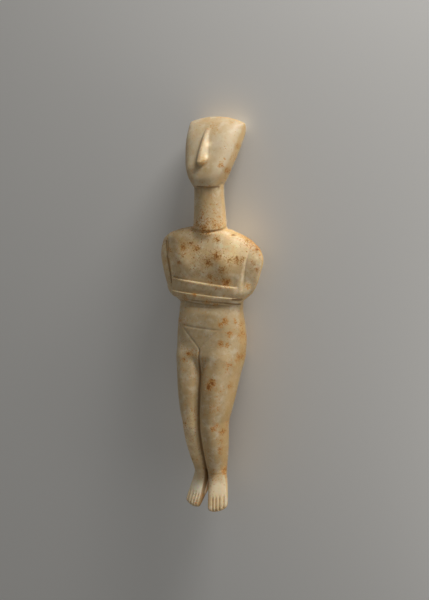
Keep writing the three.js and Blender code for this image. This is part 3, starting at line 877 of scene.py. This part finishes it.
def marble():
    """Cream marble, paler on the face and feet, with ochre soiling, rust-brown root marks, and painted
    light: a glow on the rims, highlights on the chest and nose, and shade in hollows and creases.
    """
    m = Nodes("marble")
    place = m.place()
    along = m.along_figure(place)
    pale_ends = m.math("ADD", m.ramp(along, *PALE_HEAD), m.ramp(along, *PALE_FEET))
    stone = soiled_and_shaded(m, place, clean_stone(m, place, pale_ends))
    uneven = m.math("MULTIPLY", m.noise(place, *STAIN_EDGE), 0.6)
    stains = m.math("ADD", m.painted("rust"), uneven)
    stone = m.mix(m.ramp(stains, 0.4, 1, top=0.45), stone, WARM_STONE)
    # Scaled by the painted paleness: painted highlights on the chest and nose, painted light on the
    # arms, far shin and feet, painted shadow on the waist
    stone = m.scaled(stone, m.painted("tone_and_painted_light"))
    grain = m.noise(place, *GRAIN)
    stone = rusted(m, stone, place, pale_ends, grain)
    m.link(stone, m.shader.inputs["Base Color"])
    m.link(m.ramp(grain, 0.3, 0.7, 0.38, 0.56), m.shader.inputs["Roughness"])
    m.shader.inputs["Specular IOR Level"].default_value = 0.35
    m.shader.inputs["Subsurface Weight"].default_value = 0.3
    m.shader.inputs["Subsurface Radius"].default_value = (1, 0.5, 0.22)
    m.shader.inputs["Subsurface Scale"].default_value = 0.012
    bump = m.add("ShaderNodeBump")
    bump.inputs["Strength"].default_value = 0.15
    bump.inputs["Distance"].default_value = 0.001
    m.link(m.noise(place, *FINE_PITS), bump.inputs["Height"])
    m.link(bump.outputs["Normal"], m.shader.inputs["Normal"])
    return m.material


def floor_paint():
    m = Nodes("floor_paint")
    m.shader.inputs["Base Color"].default_value = FLOOR_GREY
    m.shader.inputs["Roughness"].default_value = 0.8
    return m.material


# Painted values: where rust gathers, how much the surface bulges or is hollow, and where painted shadow
# and highlights go

def as_seen(points, normals):
    """Places across the view and up the figure, and how far each surface faces the viewer, 0 to 1."""
    right, _, towards = (np.array(axis) for axis in view_axes())
    return points @ right, points[:, 1], smooth(*SEEN_FROM, normals @ towards)


def rust_density(points, normals):
    """Rust gathers round the marks, on the side that they are seen from."""
    u, v, facing = as_seen(points, normals)
    total = np.zeros(len(points))
    for across, up, reach, strength in RUST_MARKS:
        near = ((u - across) ** 2 + (v - up) ** 2) / reach**2
        total = np.maximum(total, strength * np.exp(-near))
    return total * facing


def soil_and_shadow_density(points, normals):
    """Dark brown along the lines and in the cleft between the legs: soil, and painted shadow in creases
    and under edges.
    """
    u, v, facing = as_seen(points, normals)
    seen = np.stack([u, v], 1)
    total = np.zeros(len(points))
    for start, end, width, strength in SOIL_AND_SHADOW_LINES:
        start, along = np.array(start), np.array(end) - start
        share = np.clip((seen - start) @ along / (along @ along), 0, 1)
        near = ((seen - start - share[:, None] * along) ** 2).sum(1) / width**2
        total = np.maximum(total, strength * np.exp(-near))
    half_top, half_low = CLEFT_SOIL_AND_SHADE["half_top"], CLEFT_SOIL_AND_SHADE["half_low"]
    lower = smooth(CLEFT_SOIL_AND_SHADE["top"], CLEFT_SOIL_AND_SHADE["wide_from"], v)
    cleft = smooth(half_top + (half_low - half_top) * lower, 0, np.abs(points[:, 0]))
    return np.maximum(total * facing, cleft * smooth(0, CLEFT_SOIL_AND_SHADE["full"], lower))


def tone_and_painted_light(points, normals):
    """How pale each place is, 1 for as the rest: painted highlights, light and shade from the table
    above, beside the stone's own tone.
    """
    u, v, _ = as_seen(points, normals)
    total = np.ones(len(points))
    for across, up, reach, change in TONES_AND_PAINTED_LIGHT:
        total += change * notch(np.hypot(u - across, v - up), reach)
    return total


def neighbour_means(edges, count):
    """A function that gives each point the mean of its neighbours' values."""
    neighbours = np.bincount(edges.ravel(), minlength=count)[:, None]

    def averaged(values):
        total = np.zeros_like(values)
        np.add.at(total, edges[:, 0], values[edges[:, 1]])
        np.add.at(total, edges[:, 1], values[edges[:, 0]])
        return total / np.maximum(neighbours, 1)

    return averaged


def bulge_of(points, normals, averaged, rounds):
    """How far each point stands out of the eased surface: below zero in hollows."""
    eased = points
    for _ in range(rounds):
        eased = averaged(eased)
    bulge = ((points - eased) * normals).sum(1)[:, None]
    return averaged(averaged(bulge))[:, 0]


def paint(piece, name, values):
    attribute = piece.data.attributes.new(name, "FLOAT", "POINT")
    attribute.data.foreach_set("value", values.astype(np.float32))


def read_list(items, name, width, kind):
    """One property of a mesh's vertices or edges as rows of numbers."""
    values = np.empty(width * len(items), kind)
    items.foreach_get(name, values)
    return values.reshape(-1, width)


def paint_all(piece):
    mesh = piece.data
    points = read_list(mesh.vertices, "co", 3, np.float32).astype(float)
    normals = read_list(mesh.vertices, "normal", 3, np.float32).astype(float)
    averaged = neighbour_means(read_list(mesh.edges, "vertices", 2, np.int32), len(points))
    for name, (rounds, depth) in BULGES.items():
        paint(piece, name, bulge_of(points, normals, averaged, rounds) / depth)
    shares = (points - [0, LOW.y, BODY_MIDDLE]) / HEIGHT
    for name, value in (("rust", rust_density), ("soil_and_shadow", soil_and_shadow_density), ("tone_and_painted_light", tone_and_painted_light)):
        paint(piece, name, value(shares, normals))


# Pieces

def mesh_object(name, points, faces, material):
    mesh = bpy.data.meshes.new(name)
    mesh.from_pydata(points.tolist(), [], faces.tolist())
    mesh.validate()
    mesh.polygons.foreach_set("use_smooth", [True] * len(mesh.polygons))
    mesh.materials.append(material)
    piece = bpy.data.objects.new(name, mesh)
    bpy.context.scene.collection.objects.link(piece)
    return piece


def thinned(piece, faces_kept):
    """Keeps about this many triangles, more of them where the carving is fine."""
    faces = 2 * len(piece.data.polygons)
    if faces <= faces_kept:
        return
    modifier = piece.modifiers.new("thin", "DECIMATE")
    modifier.ratio = faces_kept / faces
    bpy.context.view_layer.update()
    evaluated = piece.evaluated_get(bpy.context.evaluated_depsgraph_get())
    mesh = bpy.data.meshes.new_from_object(evaluated)
    piece.modifiers.clear()
    piece.data = mesh


def make_figurine():
    points, faces = surface_of(figure, GRID_LOW, GRID_HIGH, 1 / CELLS_ALONG)
    piece = mesh_object("carved_marble_figurine", to_frame(points), faces, marble())
    thinned(piece, FACES_KEPT)
    paint_all(piece)
    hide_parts(NODE)
    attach(piece, "root")
    return piece


def make_floor(side=8.0):
    corners = np.array([(-side, -side, 0), (side, -side, 0), (side, side, 0), (-side, side, 0)]) / 2
    floor = mesh_object("floor", corners, np.array([(0, 1, 2, 3)]), floor_paint())


# Camera and light. Directions: right, up and towards the camera, in the figure's frame

VIEW_TURN = np.radians(30)  # towards the figure's left
VIEW_PITCH = np.radians(7.7)  # looking down from the head's side
CAMERA = {"away": 2.52655, "up": 0.8799, "aside": 0.009, "lens": 60, "sensor": 36}
CHEST = (0, 0.7, 0)  # shares of the height
THIGHS = (0, 0.3, 0)
WARM_WHITE = (1, 0.97, 0.92)
KEY_LIGHT = {"right": 0.572, "up": 1.342, "towards": 0.77, "power": 24.5, "size": (0.8, 0.45)}
SIDE_LIGHT = {"away": (0.9, -0.05, 0.16), "power": 1.3, "size": (0.6, 0.2)}
SKY = {"colour": (0.95, 0.93, 0.88, 1), "strength": 0.19}


def view_axes():
    right = Vector((np.cos(VIEW_TURN), 0, -np.sin(VIEW_TURN)))
    flat = np.cos(VIEW_PITCH)
    ahead = Vector((-np.sin(VIEW_TURN) * flat, -np.sin(VIEW_PITCH), -np.cos(VIEW_TURN) * flat))
    return right, right.cross(ahead), -ahead


def in_frame(x, y, z):
    """A point given in shares of the height, in the frame."""
    return Vector((x * HEIGHT, (y - 0.5) * HEIGHT, BODY_MIDDLE + z * HEIGHT))


def make_camera():
    right, up, towards = view_axes()
    away = CAMERA["away"]
    place = in_frame(away * np.sin(VIEW_TURN), CAMERA["up"], away * np.cos(VIEW_TURN))
    place += right * CAMERA["aside"] * HEIGHT
    data = bpy.data.cameras.new("camera")
    data.lens = CAMERA["lens"]
    data.sensor_width = CAMERA["sensor"]
    data.clip_end = 50
    camera = bpy.data.objects.new("camera", data)
    turn = Matrix((right, up, towards)).transposed()
    camera.matrix_world = Matrix.Translation(place) @ turn.to_4x4()
    bpy.context.scene.collection.objects.link(camera)
    bpy.context.scene.camera = camera


def area_light(name, away, target, settings):
    data = bpy.data.lights.new(name, "AREA")
    data.shape = "RECTANGLE"
    data.size, data.size_y = settings["size"]
    data.energy = settings["power"]
    data.color = WARM_WHITE
    light = bpy.data.objects.new(name, data)
    light.location = target + away
    light.rotation_euler = (-away).to_track_quat("-Z", "Y").to_euler()
    bpy.context.scene.collection.objects.link(light)


def make_light():
    right, up, towards = view_axes()
    key = right * KEY_LIGHT["right"] + up * KEY_LIGHT["up"] + towards * KEY_LIGHT["towards"]
    area_light("key", key, in_frame(*CHEST), KEY_LIGHT)
    area_light("side", Vector(SIDE_LIGHT["away"]), in_frame(*THIGHS), SIDE_LIGHT)
    world = bpy.data.worlds.new("world")
    world.use_nodes = True
    background = world.node_tree.nodes["Background"]
    background.inputs["Color"].default_value = SKY["colour"]
    background.inputs["Strength"].default_value = SKY["strength"]
    bpy.context.scene.world = world
    bpy.context.scene.view_settings.view_transform = "Standard"


make_camera()
make_light()
make_floor()
make_figurine()
